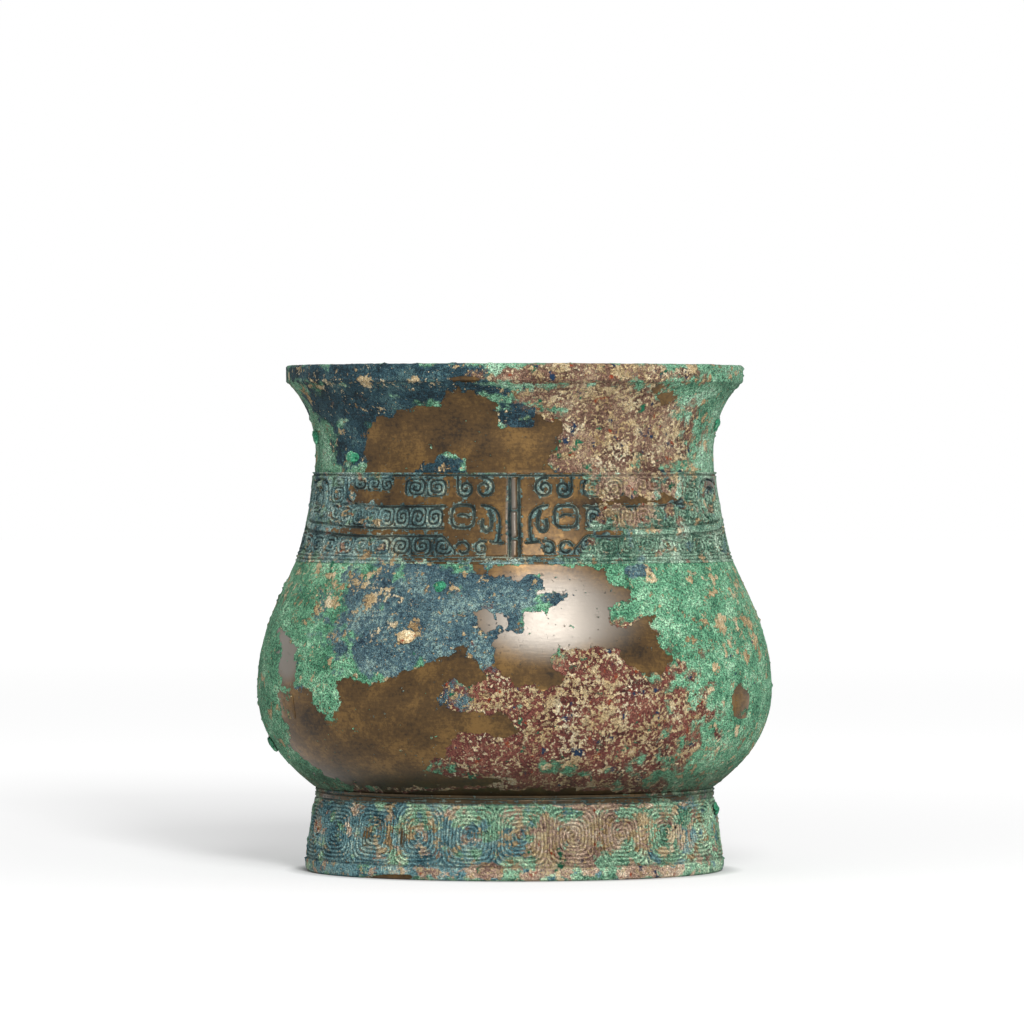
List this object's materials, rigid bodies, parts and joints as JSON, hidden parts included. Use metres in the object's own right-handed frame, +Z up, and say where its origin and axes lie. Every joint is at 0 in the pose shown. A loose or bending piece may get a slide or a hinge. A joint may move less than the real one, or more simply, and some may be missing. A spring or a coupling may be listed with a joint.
{
  "type": "bronze wine vessel",
  "caption": "Oval cast bronze drinking vessel with a flared mouth, a dragon band below the neck, a swelling belly and a ring foot.",
  "frame": {"origin": "on the ground, under the middle of the ring foot", "axes": "+Z up through the mouth, +X along the longer axis of the oval, -Y is the front face"},
  "size_m": [0.153, 0.121, 0.15],
  "materials": {
    "cast_bronze": "old cast bronze, brown bare metal under green, blue and red burial patina",
    "chaplet_bronze": "cast bronze, dull brown",
    "malachite": "dull green mineral crust",
    "burial_earth": "tan mineral crust"
  },
  "bodies": {
    "root": {"vessel_casting": "cast_bronze", "neck_chaplet_front": "chaplet_bronze", "neck_chaplet_back": "chaplet_bronze", "neck_chaplet_left": "chaplet_bronze", "neck_chaplet_right": "chaplet_bronze", "belly_chaplet_front_right": "chaplet_bronze", "belly_chaplet_front_left": "chaplet_bronze", "belly_chaplet_back_right": "chaplet_bronze", "belly_chaplet_back_left": "chaplet_bronze", "floor_chaplet_front": "chaplet_bronze", "floor_chaplet_back": "chaplet_bronze", "floor_chaplet_left": "chaplet_bronze", "floor_chaplet_right": "chaplet_bronze", "neck_malachite_lump": "malachite", "neck_left_crust": "malachite", "neck_right_crust": "malachite", "belly_malachite_lump": "malachite", "belly_left_crust": "malachite", "foot_right_crust": "malachite", "belly_earth_lump": "burial_earth"}
  },
  "joints": []
}
